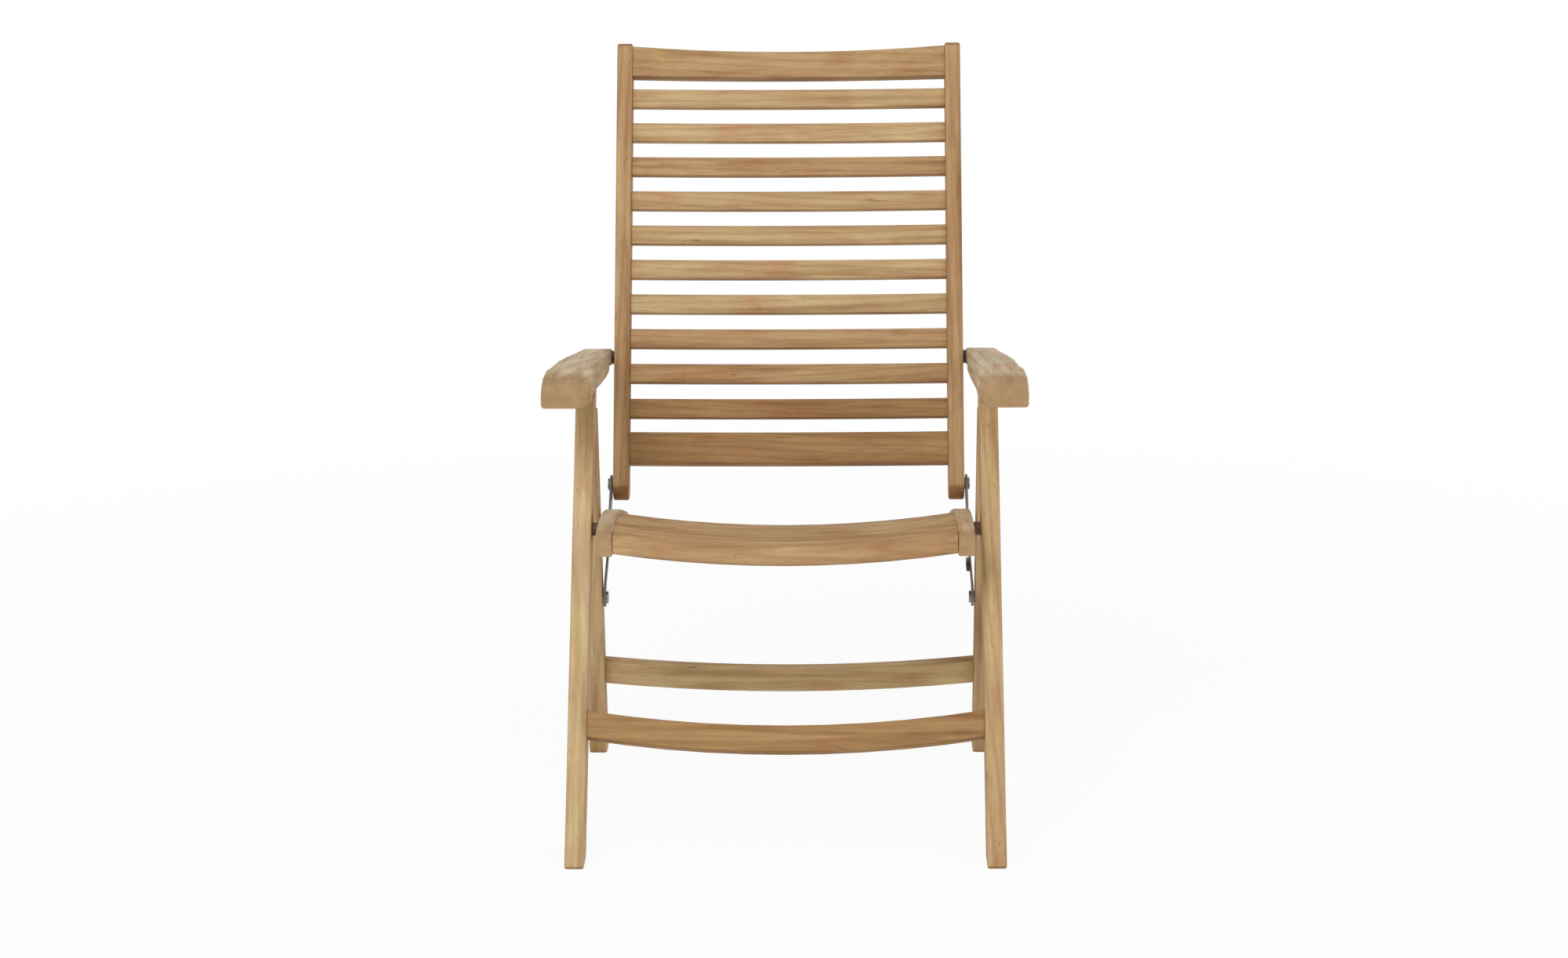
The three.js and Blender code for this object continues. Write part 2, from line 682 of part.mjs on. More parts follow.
// The plate's thickness profile against height, as wide as the plate's outline
function crankProfile(side, near, far) {
  const high = BACK_LINK_Z + STILE_WIDTH;
  const low = REAR_LINK_Z - STILE_WIDTH;
  const rings = [REAR_LINK.x - STILE_WIDTH - STILE_WIDTH, BACK_LINK_BACK + STILE_WIDTH].map((y) => {
    const outline = [
      [far, low],
      [far + PLATE, low],
      [far + PLATE, CRANK_FROM],
      [near + PLATE, CRANK_TO],
      [near + PLATE, high],
      [near, high],
      [near, CRANK_TO],
      [far, CRANK_FROM],
    ];
    return (side > 0 ? outline : outline.reverse()).map(([x, z]) => new THREE.Vector3(side * x, y, z));
  });
  const shape = new THREE.Shape(rings[0].map((p) => point(p.x, p.z)));
  const depth = rings[1][0].y - rings[0][0].y;
  const geometry = new THREE.ExtrudeGeometry(shape, { depth, bevelEnabled: false });
  geometry.rotateX(QUARTER_TURN);
  geometry.translate(0, rings[1][0].y, 0);
  return solidOf(geometry);
}

// A collar round a pin
function collar(at, side, outer, inner, from, to) {
  return without(solidOf(barOf(at, outer, side * from, side * to)), [
    barOf(at, inner, side * (from - GAP), side * (to + GAP)),
  ]);
}

// The bolt in the rear leg, its head on the plate's inner face
function rearLinkBolt(side) {
  const face = PLATE_FAR - GAP - LINK_HEAD;
  const head = solidOf(barOf(REAR_LINK, LINK_HEAD_R, side * face, side * (face + LINK_HEAD)));
  const [from, to] = [side * (face + LINK_HEAD / 2), side * (LEG_INNER + LINK_GRIP)];
  return head.add(solidOf(barOf(REAR_LINK, LINK_BOLT_R, from, to)));
}

// A bolt held in the plate, its head on the plate's outer face
function plateBolt(at, side) {
  const face = PLATE_NEAR + PLATE + GAP / 2;
  const head = solidOf(barOf(at, LINK_HEAD_R, side * face, side * (face + LINK_HEAD)));
  const [from, to] = [side * (PLATE_NEAR + GAP), side * (face + LINK_HEAD / 2)];
  return head.add(solidOf(barOf(at, LINK_BOLT_R, from, to)));
}

// A bush sunk in a wooden end, with a thin collar that stops just short of the plate
function linkBush(at, side) {
  const face = RAIL_OUTER + GAP / 2;
  const rim = solidOf(barOf(at, LINK_HEAD_R, side * face, side * (face + LINK_COLLAR)));
  const [from, to] = [side * (RAIL_OUTER - LINK_GRIP), side * (face + LINK_COLLAR / 2)];
  return rim.add(solidOf(barOf(at, LINK_BOLT_R, from, to)));
}

function addWood(word, side) {
  addPiece("front_leg_" + word, geometryOf(frontLeg(side)), TEAK);
  addPiece("rear_leg_" + word, geometryOf(rearLeg(side)), TEAK);
  addPiece("seat_rail_" + word, geometryOf(seatRail(side)), TEAK);
  addPiece("back_stile_" + word, geometryOf(stile(side)), TEAK);
  addPiece("armrest_" + word, geometryOf(armrest(side)), TEAK);
}

function addPins(word, side) {
  const arm = [side * (ARM_INNER + GAP), side * (LEG_OUTER + ARM_PIN_OVER - GAP)];
  const leg = [side * LEG_INNER, side * (LEG_OUTER - PLATE - GAP)];
  const seat = [side * (RAIL_OUTER - SEAT_GRIP), side * (LEG_INNER + SEAT_GRIP)];
  const notch = [side * (RAIL_OUTER - LINK_GRIP), side * (ARM_INNER + NOTCH_PIN_REACH)];
  addPiece("arm_pin_" + word, barOf(ARM_PIVOT, ARM_PIN_R, ...arm), STEEL);
  addPiece("leg_pin_" + word, barOf(KNUCKLE, PIVOT_R, ...leg), STEEL);
  addPiece("seat_pin_" + word, barOf(SEAT_PIVOT, PIVOT_R, ...seat), STEEL);
  addPiece("notch_pin_" + word, barOf(NOTCH_PIN, NOTCH_PIN_R, ...notch), STEEL);
  const spacer = [SPACER_R, PIVOT_R + GAP / 2, RAIL_OUTER + GAP, LEG_INNER - GAP];
  const washer = [WASHER_R, NOTCH_PIN_R + GAP / 2, RAIL_OUTER + GAP / 2, ARM_INNER - GAP / 2];
  addPiece("seat_spacer_" + word, geometryOf(collar(SEAT_PIVOT, side, ...spacer)), BLACK);
  addPiece("notch_washer_" + word, geometryOf(collar(NOTCH_PIN, side, ...washer)), BLACK);
}

function addLinkage(word, side) {
  const spacer = [LINK_HEAD_R, LINK_BOLT_R + GAP / 2, PLATE_FAR + PLATE + GAP / 2, LEG_INNER - GAP / 2];
  addPiece("link_plate_" + word, geometryOf(linkPlate(side)), STEEL);
  addPiece("rear_link_bolt_" + word, geometryOf(rearLinkBolt(side)), STEEL);
  addPiece("rear_link_spacer_" + word, geometryOf(collar(REAR_LINK, side, ...spacer)), STEEL);
  addPiece("seat_link_bolt_" + word, geometryOf(plateBolt(SEAT_LINK_POINT, side)), STEEL);
  addPiece("back_link_bolt_" + word, geometryOf(plateBolt(BACK_LINK_POINT, side)), STEEL);
  addPiece("seat_link_bush_" + word, geometryOf(linkBush(SEAT_LINK_POINT, side)), STEEL);
  addPiece("back_link_bush_" + word, geometryOf(linkBush(BACK_LINK_POINT, side)), STEEL);
}

// The catch lies on the right plate's inner face and keeps the chair open
function safetyCatch() {
  const along = SEAT_LINK_POINT.clone().sub(REAR_LINK).normalize();
  const at = atHeight(REAR_LINK, along, CATCH_Z);
  const outer = (PLATE_NEAR + PLATE_FAR + PLATE) / 2;
  const shape = capsule(at, step(at, point(-1, 0), CATCH_LENGTH), CATCH_R);
  const body = solidOf(boardOf(shape, outer - CATCH_THICK, outer, SHOULDER_CLEAR, FEW_CUTS));
  return geometryOf(body.subtract(crankProfile(SIDES.right, PLATE_NEAR - GAP, PLATE_FAR - GAP)));
}

// Stretchers between the legs, set parallel to them
function stretcher(onAxis, along, backward, width, frontward, z, sag) {
  const inset = width / 2 - STRETCHER_THICK / 2 - STRETCHER_INSET;
  const centre = step(atHeight(onAxis, along, z), backward, frontward * inset);
  const section = sectionAt(centre, along, STRETCHER_HEIGHT, STRETCHER_THICK, SLAT_EDGE);
  return bentBoard(section, LEG_INNER - GAP, along.clone().negate(), sag);
}

function addStretchers() {
  const front = [FRONT_WIDTH, -1, FRONT_STRETCHER_Z, FRONT_STRETCHER_SAG];
  const rear = [REAR_WIDTH, 1, REAR_STRETCHER_Z, REAR_STRETCHER_SAG];
  addPiece("front_stretcher", stretcher(FRONT_AXIS, FRONT_UP, FRONT_BACKWARD, ...front), TEAK);
  addPiece("rear_stretcher", stretcher(REAR_AXIS, REAR_UP, REAR_BACKWARD, ...rear), TEAK);
}

function addBackBoards() {
  addPiece("back_bottom_rail", backBoard(BOTTOM_RAIL_AT, RAIL_HEIGHT, BACK_RAIL_THICK, SLAT_BOW), TEAK);
  const half = (RAIL_HEIGHT + BACK_SLAT_WIDTH) / 2;
  const first = BOTTOM_RAIL_AT + half + BACK_LOW_SPACE;
  const last = STILE_LENGTH - TOP_RAIL_DROP - half - BACK_HIGH_SPACE;
  for (let i = 0; i < BACK_SLATS; i += 1) {
    const along = first + ((last - first) * i) / (BACK_SLATS - 1);
    addPiece("back_slat_" + (i + 1), backBoard(along, BACK_SLAT_WIDTH, BACK_SLAT_THICK, SLAT_BOW), TEAK);
  }
  addPiece("back_top_rail", topRail(), TEAK);
}

function buildChair() {
  for (const [word, side] of Object.entries(SIDES)) {
    addWood(word, side);
    addPins(word, side);
    addLinkage(word, side);
  }
  addStretchers();
  addPiece("seat_front_slat", frontSlat(), TEAK);
  for (let i = 0; i < SEAT_SLATS; i += 1) addPiece("seat_slat_" + (i + 1), seatSlat(i), TEAK);
  addBackBoards();
  addPiece("safety_catch", safetyCatch(), BLACK);
}

// The middle of the chair's depth comes to y = 0, the feet to z = 0
function settle() {
  const box = new THREE.Box3().setFromObject(chair);
  const middle = box.getCenter(new THREE.Vector3());
  for (const mesh of chair.children) mesh.geometry.translate(0, -middle.y, -box.min.z);
}

buildChair();
settle();

export default chair;
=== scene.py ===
import math

import bpy
from mathutils import Matrix, Vector

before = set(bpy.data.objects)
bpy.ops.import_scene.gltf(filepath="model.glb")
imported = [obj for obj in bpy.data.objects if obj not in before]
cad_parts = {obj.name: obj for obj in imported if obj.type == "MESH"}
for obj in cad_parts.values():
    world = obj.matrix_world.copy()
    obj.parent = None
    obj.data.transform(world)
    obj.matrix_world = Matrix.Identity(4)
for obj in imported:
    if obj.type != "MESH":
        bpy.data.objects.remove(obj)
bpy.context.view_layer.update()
scene = bpy.context.scene
print("frame loaded:", len(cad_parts), "nodes")

mmPerMetre = 1000
white = "#ffffff"


def linear(hexColour):
    channels = [int(hexColour[i:i + 2], 16) / 255 for i in (1, 3, 5)]
    return [c / 12.92 if c <= 0.04045 else ((c + 0.055) / 1.055) ** 2.4 for c in channels] + [1]


def addNode(tree, kind, settings=None, links=None):
    # a setting is a ramp's stops, a socket's number or name, or else one of the node's own
    # properties; a stop's shade is a hex colour or a linear grey
    node = tree.nodes.new(kind)
    for name, value in (settings or {}).items():
        if name == "stops":
            points = node.color_ramp.elements
            while len(points) < len(value):
                points.new(0.5)
            for point, (place, shade) in zip(points, value):
                point.position = place
                point.color = linear(shade) if isinstance(shade, str) else [shade, shade, shade, 1]
        elif isinstance(name, int) or name in node.inputs:
            node.inputs[name].default_value = value
        else:
            setattr(node, name, value)
    for name, source in (links or {}).items():
        tree.links.new(source, node.inputs[name])
    return node


def newMaterial(name):
    material = bpy.data.materials.new(name)
    material.use_nodes = True
    material.node_tree.nodes.clear()
    return material


# Untreated teak, planed and sanded: satin, with growth lines that run out into arches, longer
# darker streaks, clouds of paler wood, fine fibres, short dark pores and a few mineral marks.
# Sawn ends are darker than the sides, and their figure is fainter. The darkening already starts on
# faces that slope some 15 degrees across the board, such as the arms' drooping noses: painted
# shade.
teakLook = {
    # mm is a pattern's size across the board, and along is how fast it changes along the board,
    # as a share of that. Real fibres and pores are finer: these are coarse enough to show.
    "grain": {
        "streaks": {"mm": 14.0, "along": 0.05, "detail": 2.0, "rough": 0.5, "bend": 0.6},
        "fibres": {"mm": 1.5, "along": 0.025, "detail": 3.0, "rough": 0.7, "bend": 0.0},
        "pores": {"mm": 1.1, "along": 0.07, "detail": 1.0, "rough": 0.4, "bend": 0.0},
        "marks": {"mm": 4.0, "along": 0.06, "detail": 2.0, "rough": 0.5, "bend": 1.2},
        "patches": {"mm": 42.0, "along": 0.33, "detail": 3.0, "rough": 0.6, "bend": 0.8},
    },
    # the streaks give the board its own tones, and the other patterns are laid over them in turn
    "base": [(0.22, "dark"), (0.5, "middle"), (0.78, "light")],
    "layers": {
        "patches": {"blend": "OVERLAY", "share": 0.75,
                    "stops": [(0.3, "#b2a299"), (0.5, "#bcbcbc"), (0.7, "#c9cdc4")]},
        "rings": {"blend": "MULTIPLY", "share": 0.2, "stops": [(0.0, "vein"), (0.45, white)]},
        "fibres": {"blend": "OVERLAY", "share": 0.6, "stops": [(0.3, 0.38), (0.7, 0.62)]},
        "pores": {"blend": "MULTIPLY", "share": 0.35, "stops": [(0.28, 0.6), (0.37, 1.0)]},
        "marks": {"blend": "MULTIPLY", "share": 0.6, "stops": [(0.23, "#7d5c3c"), (0.31, white)]},
        # darker sawn end grain, and painted shade on faces that slope across the board
        "ends": {"blend": "MULTIPLY", "share": 1.0, "stops": [(0.25, white), (0.42, "#dfccb8")]},
    },
    "ringMm": 12.0,                    # spacing of the growth lines across the log
    "ringBend": 5.0, "ringDetail": 3.0, "ringDetailScale": 0.12, "ringDetailRough": 0.55,
    "ringPhase": 9,
    "logMm": 130.0,                    # how far from the middle of the log a board is cut
    "logFrom": 0.4, "logTo": 1.3,      # shares of that: one way it starts there, the other it ends
    "tilt": 3.5,                       # degrees between board and log, which draws the arches
    "markSlant": 8.0,                  # degrees between the marks and the board's length
    "calmFrom": 0.3, "calmTo": 0.8,    # how squarely a face is cut across while its figure fades
    "calm": 0.6,                       # how much of the figure has then gone
    "calmed": {"streaks": 0.5, "patches": 0.5, "rings": 1.0},    # and what it fades to
    "roughness": 0.6, "rougher": 0.08, "smoother": 0.06,    # rougher in the dark streaks
    "roughFrom": 0.3, "roughTo": 0.7,
    "bump": 0.22, "bumpMm": 0.4,
    "fibreRise": 0.5,                  # share of the fibres in the bump, beside the pores
    "ior": 1.5, "specular": 0.25,
    "cutSteps": (0.37, 0.53, 1.7),     # from one board to the next, so that no two are alike
    "chanceSteps": (0.618, 0.414, 0.732),
}


def teakPatterns(tree, turn, seed):
    # each chance is a number from 0 to 1 that is always the same for a board
    coords = addNode(tree, "ShaderNodeTexCoord").outputs
    cut = [seed * step for step in teakLook["cutSteps"]]
    chance = [(seed * step) % 1 for step in teakLook["chanceSteps"]]
    board = addNode(tree, "ShaderNodeMapping", {
        "Rotation": turn, "Location": (cut[0] % 1, cut[1] % 1, cut[2]),
    }, {"Vector": coords["Object"]}).outputs["Vector"]
    slant = math.radians(teakLook["markSlant"] * (1 if chance[1] > 0.5 else -1))
    slanted = addNode(tree, "ShaderNodeMapping", {"Rotation": (slant, slant, 0)},
                      {"Vector": board}).outputs["Vector"]
    patterns = {}
    for name, grain in teakLook["grain"].items():
        across = mmPerMetre / grain["mm"]
        stretched = addNode(tree, "ShaderNodeMapping",
                            {"Scale": (across, across, across * grain["along"])},
                            {"Vector": slanted if name == "marks" else board})
        patterns[name] = addNode(tree, "ShaderNodeTexNoise", {
            "Scale": 1.0, "Detail": grain["detail"], "Roughness": grain["rough"],
            "Distortion": grain["bend"],
        }, {"Vector": stretched.outputs["Vector"]}).outputs["Fac"]

    upright = addNode(tree, "ShaderNodeMapping", {"Rotation": turn}, {"Vector": coords["Object"]})
    away = teakLook["logMm"] / mmPerMetre
    inLog = addNode(tree, "ShaderNodeMapping", {
        "Rotation": (math.radians(teakLook["tilt"] * (chance[0] - 0.5) * 2),
                     math.radians(teakLook["tilt"] * (chance[1] - 0.5) * 2), 0),
        "Location": (away * (teakLook["logFrom"] + chance[2]),
                     away * (teakLook["logTo"] - chance[2]), 0),
    }, {"Vector": upright.outputs["Vector"]})
    # at scale 1 this texture has a ring every tau / 20 metres
    patterns["rings"] = addNode(tree, "ShaderNodeTexWave", {
        "wave_type": "RINGS", "rings_direction": "Z", "wave_profile": "SIN",
        "Scale": math.tau / 20 * mmPerMetre / teakLook["ringMm"],
        "Distortion": teakLook["ringBend"], "Detail": teakLook["ringDetail"],
        "Detail Scale": teakLook["ringDetailScale"],
        "Detail Roughness": teakLook["ringDetailRough"],
        "Phase Offset": chance[0] * teakLook["ringPhase"],
    }, {"Vector": inLog.outputs["Vector"]}).outputs["Fac"]

    # how squarely a face is cut across the board: darkens real end grain and paints shade on
    # sloped faces
    facing = addNode(tree, "ShaderNodeMapping", {"Rotation": turn}, {"Vector": coords["Normal"]})
    axes = addNode(tree, "ShaderNodeSeparateXYZ", {}, {"Vector": facing.outputs["Vector"]})
    patterns["ends"] = addNode(tree, "ShaderNodeMath", {"operation": "ABSOLUTE"},
                               {0: axes.outputs["Z"]}).outputs[0]
    calm = addNode(tree, "ShaderNodeMapRange", {
        "From Min": teakLook["calmFrom"], "From Max": teakLook["calmTo"],
        "To Max": teakLook["calm"],
    }, {"Value": patterns["ends"]}).outputs["Result"]
    for name, rest in teakLook["calmed"].items():
        patterns[name] = addNode(tree, "ShaderNodeMix", {3: rest},
                                 {0: calm, 2: patterns[name]}).outputs[0]
    return patterns


def teak(name, turn, tone, seed):
    # turn brings the board's length onto the local Z axis, and seed picks its cut of the log
    material = newMaterial(name)
    tree = material.node_tree
    patterns = teakPatterns(tree, turn, seed)
    stops = [(place, tone[shade]) for place, shade in teakLook["base"]]
    colour = addNode(tree, "ShaderNodeValToRGB", {"stops": stops},
                     {"Fac": patterns["streaks"]}).outputs["Color"]
    shades = {}
    for layer, look in teakLook["layers"].items():
        stops = [(place, tone.get(shade, shade)) for place, shade in look["stops"]]
        shades[layer] = addNode(tree, "ShaderNodeValToRGB", {"stops": stops},
                                {"Fac": patterns[layer]}).outputs["Color"]
        colour = addNode(tree, "ShaderNodeMix",
                         {"data_type": "RGBA", "blend_type": look["blend"], 0: look["share"]},
                         {6: colour, 7: shades[layer]}).outputs[2]

    rough = addNode(tree, "ShaderNodeMapRange", {
        "From Min": teakLook["roughFrom"], "From Max": teakLook["roughTo"],
        "To Min": teakLook["roughness"] + teakLook["rougher"],
        "To Max": teakLook["roughness"] - teakLook["smoother"],
    }, {"Value": patterns["streaks"]})
    height = addNode(tree, "ShaderNodeMath",
                     {"operation": "MULTIPLY_ADD", 1: teakLook["fibreRise"]},
                     {0: patterns["fibres"], 2: shades["pores"]})
    bump = addNode(tree, "ShaderNodeBump",
                   {"Strength": teakLook["bump"], "Distance": teakLook["bumpMm"] / mmPerMetre},
                   {"Height": height.outputs[0]})
    surface = addNode(tree, "ShaderNodeBsdfPrincipled",
                      {"IOR": teakLook["ior"], "Specular IOR Level": teakLook["specular"]},
                      {"Base Color": colour, "Roughness": rough.outputs["Result"],
                       "Normal": bump.outputs["Normal"]})
    addNode(tree, "ShaderNodeOutputMaterial", {}, {"Surface": surface.outputs["BSDF"]})
    return material


# Zinc-plated steel strip and turned bolts: grey and dull, with faint rolling marks and a cloudy
# plating. Real rolling marks are finer: these are coarse enough to show.
steelLook = {
    "zincPlatedSteel": {"colour": "#8b8a86", "roughness": 0.38},
    "turnedSteel": {"colour": "#a3a19b", "roughness": 0.3},
    "markMm": 1.111, "markAlong": 0.1, "markDetail": 3.0,
    "cloudMm": 16.67, "cloudDetail": 3.0,
    "cloudDark": 0.6,                 # share of the colour that is left in a cloud
    "rougher": 0.12, "smoother": 0.08,
    "bump": 0.12, "bumpMm": 0.2,
}


def steel(name):
    material = newMaterial(name)
    tree = material.node_tree
    look = steelLook[name]
    place = addNode(tree, "ShaderNodeTexCoord").outputs["Object"]
    across = mmPerMetre / steelLook["markMm"]
    marks = addNode(tree, "ShaderNodeMapping",
                    {"Scale": (across, across, across * steelLook["markAlong"])},
                    {"Vector": place})
    grain = addNode(tree, "ShaderNodeTexNoise", {"Scale": 1.0, "Detail": steelLook["markDetail"]},
                    {"Vector": marks.outputs["Vector"]}).outputs["Fac"]
    cloud = addNode(tree, "ShaderNodeTexNoise", {
        "Scale": mmPerMetre / steelLook["cloudMm"], "Detail": steelLook["cloudDetail"],
    }, {"Vector": place}).outputs["Fac"]
    clear = linear(look["colour"])
    clouded = [steelLook["cloudDark"] * c for c in clear[:3]] + [1]
    tint = addNode(tree, "ShaderNodeMix", {"data_type": "RGBA", 6: clouded, 7: clear}, {0: cloud})
    rough = addNode(tree, "ShaderNodeMapRange", {
        "To Min": look["roughness"] - steelLook["smoother"],
        "To Max": look["roughness"] + steelLook["rougher"],
    }, {"Value": grain})
    bump = addNode(tree, "ShaderNodeBump",
                   {"Strength": steelLook["bump"], "Distance": steelLook["bumpMm"] / mmPerMetre},
                   {"Height": grain})
    surface = addNode(tree, "ShaderNodeBsdfPrincipled", {"Metallic": 1.0},
                      {"Base Color": tint.outputs[2], "Roughness": rough.outputs["Result"],
                       "Normal": bump.outputs["Normal"]})
    addNode(tree, "ShaderNodeOutputMaterial", {}, {"Surface": surface.outputs["BSDF"]})
    return material


# Moulded nylon, black or brown: soft sheen, with the fine grain of a spark-eroded mould. Real
# mould grain is finer: this is coarse enough to show close up.
nylonLook = {
    "blackNylon": [(0.3, "#1f1a15"), (0.8, "#3a342e")],
    "brownNylon": [(0.3, "#54391f"), (0.8, "#7d5d3a")],
    "grainMm": 0.714, "grainDetail": 2.0,
    "roughness": 0.45, "ior": 1.53,
    "bump": 0.2, "bumpMm": 0.2,
}


def nylon(name):
    material = newMaterial(name)
    tree = material.node_tree
    place = addNode(tree, "ShaderNodeTexCoord").outputs["Object"]
    grain = addNode(tree, "ShaderNodeTexNoise", {
        "Scale": mmPerMetre / nylonLook["grainMm"], "Detail": nylonLook["grainDetail"],
    }, {"Vector": place}).outputs["Fac"]
    shade = addNode(tree, "ShaderNodeValToRGB", {"stops": nylonLook[name]}, {"Fac": grain})
    bump = addNode(tree, "ShaderNodeBump",
                   {"Strength": nylonLook["bump"], "Distance": nylonLook["bumpMm"] / mmPerMetre},
                   {"Height": grain})
    surface = addNode(tree, "ShaderNodeBsdfPrincipled",
                      {"Roughness": nylonLook["roughness"], "IOR": nylonLook["ior"]},
                      {"Base Color": shade.outputs["Color"], "Normal": bump.outputs["Normal"]})
    addNode(tree, "ShaderNodeOutputMaterial", {}, {"Surface": surface.outputs["BSDF"]})
    return material


# Each board has its own cut of teak: pale legs, honey-coloured slats, browner ones low on the
# back, and arms gone a little grey.
tones = {
    "pale": {"light": "#dabf94", "middle": "#c6a97e", "dark": "#a38157", "vein": "#b08a5a"},
    "honey": {"light": "#cdaf84", "middle": "#bf9e73", "dark": "#a58359", "vein": "#ad8252"},
    "tan": {"light": "#c3a075", "middle": "#b49066", "dark": "#9a754b", "vein": "#a77a48"},
    "brown": {"light": "#b68f61", "middle": "#a68054", "dark": "#8a663f", "vein": "#9c6e42"},
    "grey": {"light": "#d4c1a3", "middle": "#c6b090", "dark": "#aa906e", "vein": "#a88662"},
}
# how far each kind of board tips from upright, in degrees: backwards is positive
lean = {"frontLegs": 33.74, "rearLegs": -13.6, "back": 24.84,
        "seatRails": 97.0, "arms": 97.7, "seatSlats": 0.0}
# across is for boards that run from side to side
boards = {
    "front_leg": {"lean": lean["frontLegs"], "across": False, "tone": "pale"},
    "front_stretcher": {"lean": lean["frontLegs"], "across": True, "tone": "brown"},
    "rear_leg": {"lean": lean["rearLegs"], "across": False, "tone": "pale"},
    "rear_stretcher": {"lean": lean["rearLegs"], "across": True, "tone": "pale"},
    "seat_rail": {"lean": lean["seatRails"], "across": False, "tone": "grey"},
    "seat_front_slat": {"lean": lean["seatSlats"], "across": True, "tone": "tan"},
    "seat_slat": {"lean": lean["seatSlats"], "across": True, "tone": "honey"},
    "back_stile": {"lean": lean["back"], "across": False, "tone": "tan"},
    "back_bottom_rail": {"lean": lean["back"], "across": True, "tone": "brown"},
    "back_slat": {"lean": lean["back"], "across": True, "tone": "honey"},
    "back_top_rail": {"lean": lean["back"], "across": True, "tone": "tan"},
    "armrest": {"lean": lean["arms"], "across": False, "tone": "grey"},
}
ownTones = {"back_slat_1": "brown", "back_slat_2": "tan", "back_slat_3": "tan",
            "back_slat_4": "pale", "back_slat_8": "tan", "front_leg_right": "honey"}


def teakFor(name, board, seed):
    turn = (math.radians(board["lean"]), math.radians(-90) if board["across"] else 0, 0)
    return teak("teak_" + name, turn, tones[ownTones.get(name, board["tone"])], seed)


edges = {"weldMm": 0.02, "crispFrom": 38}    # corners sharper than 38 degrees stay crisp


def allFacesSmooth():
    tree = bpy.data.node_groups.new("allFacesSmooth", "GeometryNodeTree")
    for way in ("INPUT", "OUTPUT"):
        tree.interface.new_socket("Geometry", in_out=way, socket_type="NodeSocketGeometry")
    solid = addNode(tree, "NodeGroupInput").outputs[0]
    smooth = addNode(tree, "GeometryNodeSetShadeSmooth", {"Shade Smooth": True}, {0: solid})
    addNode(tree, "NodeGroupOutput", {}, {0: smooth.outputs[0]})
    return tree


def smoothEdges(node, smoothing):
    # shades gentle bends smooth, welds the facets' corners and keeps the sharp ones crisp, all
    # by modifiers, so that the CAD mesh itself stays as it came
    node.modifiers.new("smooth", "NODES").node_group = smoothing
    weld = node.modifiers.new("weld", "WELD")
    weld.merge_threshold = edges["weldMm"] / mmPerMetre
    split = node.modifiers.new("crisp", "EDGE_SPLIT")
    split.split_angle = math.radians(edges["crispFrom"])


def dress(nodes):
    smoothing = allFacesSmooth()
    zincPlatedSteel = steel("zincPlatedSteel")
    turnedSteel = steel("turnedSteel")
    blackNylon = nylon("blackNylon")
    brownNylon = nylon("brownNylon")
    for seed, (name, node) in enumerate(sorted(nodes.items()), 1):
        kinds = [board for start, board in boards.items() if name.startswith(start)]
        if kinds:
            material = teakFor(name, kinds[0], seed)
        elif name.startswith("seat_spacer"):
            material = brownNylon
        elif name.startswith(("notch_washer", "safety_catch")):
            material = blackNylon
        elif name.startswith("link_plate"):
            material = zincPlatedSteel
        else:
            material = turnedSteel
        for slot in node.material_slots:
            slot.material = material
        smoothEdges(node, smoothing)
    print("nodes dressed")


dress(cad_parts)

cameraSet = {
    "place": (0.0616, -4.9297, 1.5217),
    "down": 12.631,                   # degrees below level
    "left": 0.7715,
    "roll": -0.317,
    "lens": 85.05, "sensor": 36,      # in mm
}


def addCamera():
    camera = bpy.data.objects.new("camera", bpy.data.cameras.new("camera"))
    camera.data.lens = cameraSet["lens"]
    camera.data.sensor_width = cameraSet["sensor"]
    turn = (Matrix.Rotation(math.radians(cameraSet["left"]), 4, "Z")
            @ Matrix.Rotation(math.radians(90 - cameraSet["down"]), 4, "X")
            @ Matrix.Rotation(math.radians(cameraSet["roll"]), 4, "Z"))
    camera.matrix_world = Matrix.Translation(cameraSet["place"]) @ turn
    scene.collection.objects.link(camera)
    scene.camera = camera


addCamera()
print("camera placed")

# A large soft key in front, high and a little to the left, a weaker fill from the right, and a
# pale room all round.
lamps = {
    "key": {"place": (-1.4, -3.6, 3.3), "size": 1.8, "watts": 70},
    "fill": {"place": (3.2, -2.6, 1.8), "size": 2.6, "watts": 25},
}
room = {
    "aim": (0, 0, 0.5),                # where both lamps point
    "light": 0.6,                      # what the room gives the chair, where 1 is white
    "paper": "#f4f3f1",
    "floorSide": 14.0,
    "floorShown": 0.92,                # share of the floor that is plain white near the chair
    "fadeFrom": 0.9, "fadeTo": 2.6,    # metres from the chair where the rest turns plain white
}


def addLamps():
    for name, lamp in lamps.items():
        data = bpy.data.lights.new(name, "AREA")
        data.shape = "SQUARE"
        data.size = lamp["size"]
        data.energy = lamp["watts"]
        lit = bpy.data.objects.new(name, data)
        lit.location = lamp["place"]
        aim = Vector(room["aim"]) - lit.location
        lit.rotation_euler = aim.to_track_quat("-Z", "Y").to_euler()
        scene.collection.objects.link(lit)


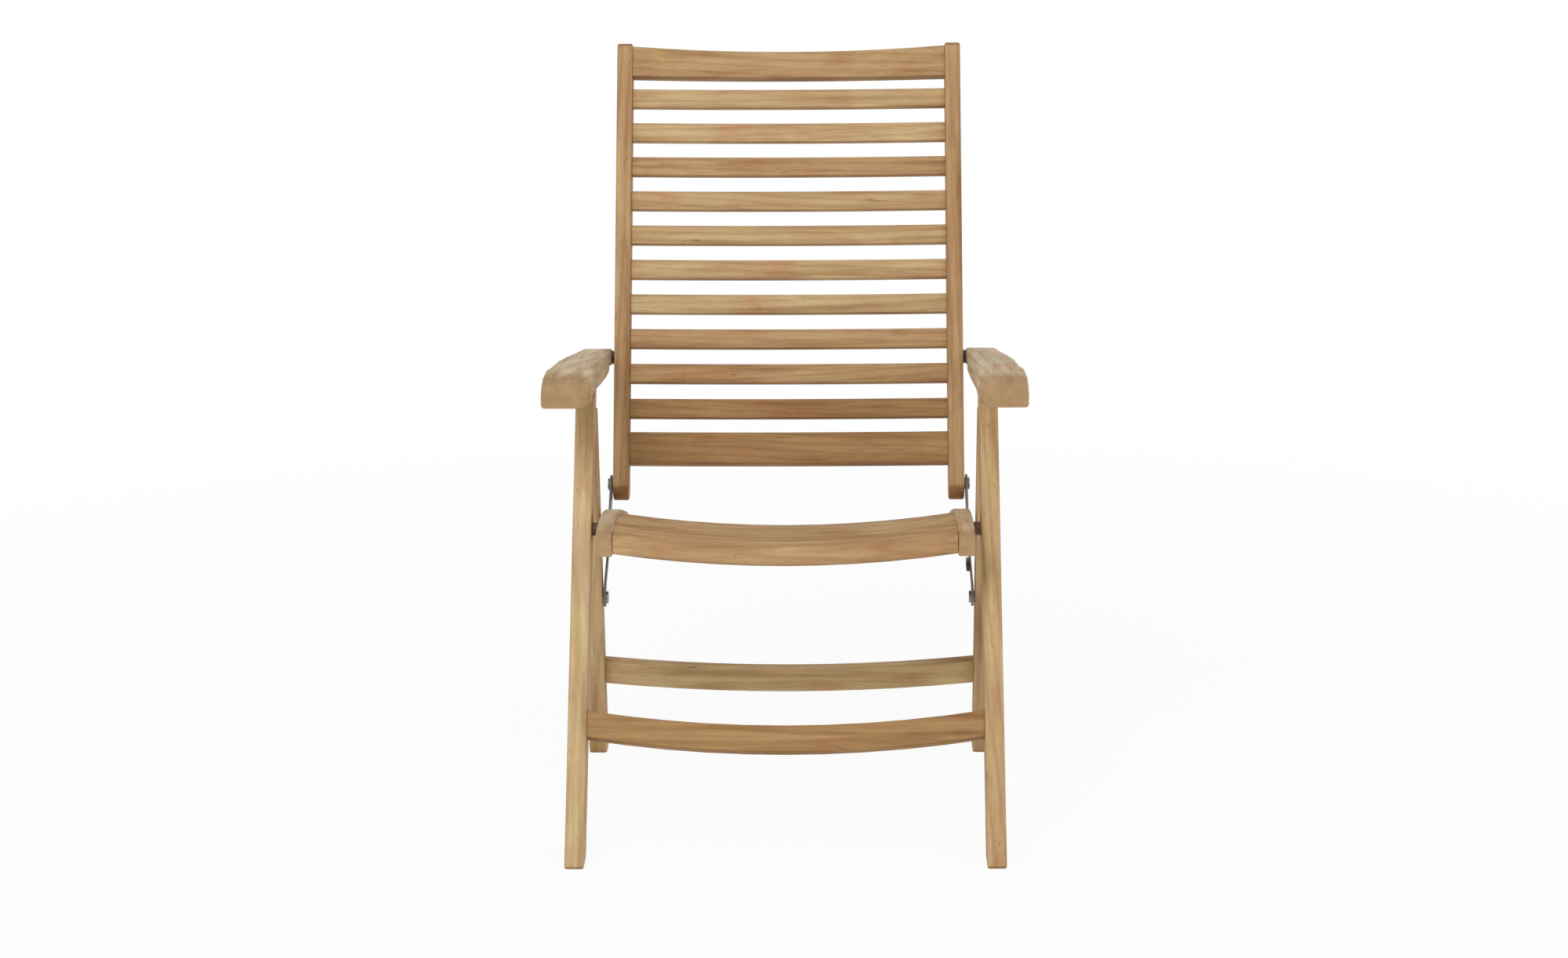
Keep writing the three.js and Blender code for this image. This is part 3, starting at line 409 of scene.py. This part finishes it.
def seenDirectly(tree):
    # 1 for rays from the camera and for what metal or glass mirrors
    rays = addNode(tree, "ShaderNodeLightPath").outputs
    seen = rays["Is Camera Ray"]
    for kind in ("Is Glossy Ray", "Is Transmission Ray"):
        seen = addNode(tree, "ShaderNodeMath", {"operation": "MAXIMUM"},
                       {0: seen, 1: rays[kind]}).outputs[0]
    return seen


def addWalls():
    world = bpy.data.worlds.new("paleRoom")
    scene.world = world
    world.use_nodes = True
    tree = world.node_tree
    tree.nodes.clear()
    strength = addNode(tree, "ShaderNodeMapRange", {"To Min": room["light"], "To Max": 1.0},
                       {"Value": seenDirectly(tree)})
    sky = addNode(tree, "ShaderNodeBackground", {"Color": linear(white)},
                  {"Strength": strength.outputs["Result"]})
    addNode(tree, "ShaderNodeOutputWorld", {}, {"Surface": sky.outputs["Background"]})


# Matt white studio paper: the camera sees it nearly white, with the chair's soft shadow.
def addFloor():
    paper = newMaterial("studioPaper")
    tree = paper.node_tree
    matt = addNode(tree, "ShaderNodeBsdfDiffuse", {"Color": linear(room["paper"])})
    shown = addNode(tree, "ShaderNodeEmission", {"Color": linear(white), "Strength": 1.0})
    place = addNode(tree, "ShaderNodeTexCoord").outputs["Object"]
    away = addNode(tree, "ShaderNodeVectorMath", {"operation": "LENGTH"}, {0: place})
    fade = addNode(tree, "ShaderNodeMapRange", {
        "From Min": room["fadeFrom"], "From Max": room["fadeTo"],
        "To Min": room["floorShown"], "To Max": 1.0,
    }, {"Value": away.outputs["Value"]})
    share = addNode(tree, "ShaderNodeMath", {"operation": "MULTIPLY"},
                    {0: seenDirectly(tree), 1: fade.outputs["Result"]})
    both = addNode(tree, "ShaderNodeMixShader", {},
                   {"Fac": share.outputs[0], 1: matt.outputs[0], 2: shown.outputs[0]})
    addNode(tree, "ShaderNodeOutputMaterial", {}, {"Surface": both.outputs[0]})
    half = room["floorSide"] / 2
    corners = [(-half, -half, 0), (half, -half, 0), (half, half, 0), (-half, half, 0)]
    mesh = bpy.data.meshes.new("floor")
    mesh.from_pydata(corners, [], [(0, 1, 2, 3)])
    mesh.materials.append(paper)
    floor = bpy.data.objects.new("floor", mesh)
    scene.collection.objects.link(floor)


addLamps()
addWalls()
addFloor()
scene.view_settings.view_transform = "Standard"
print("lamps and room ready")
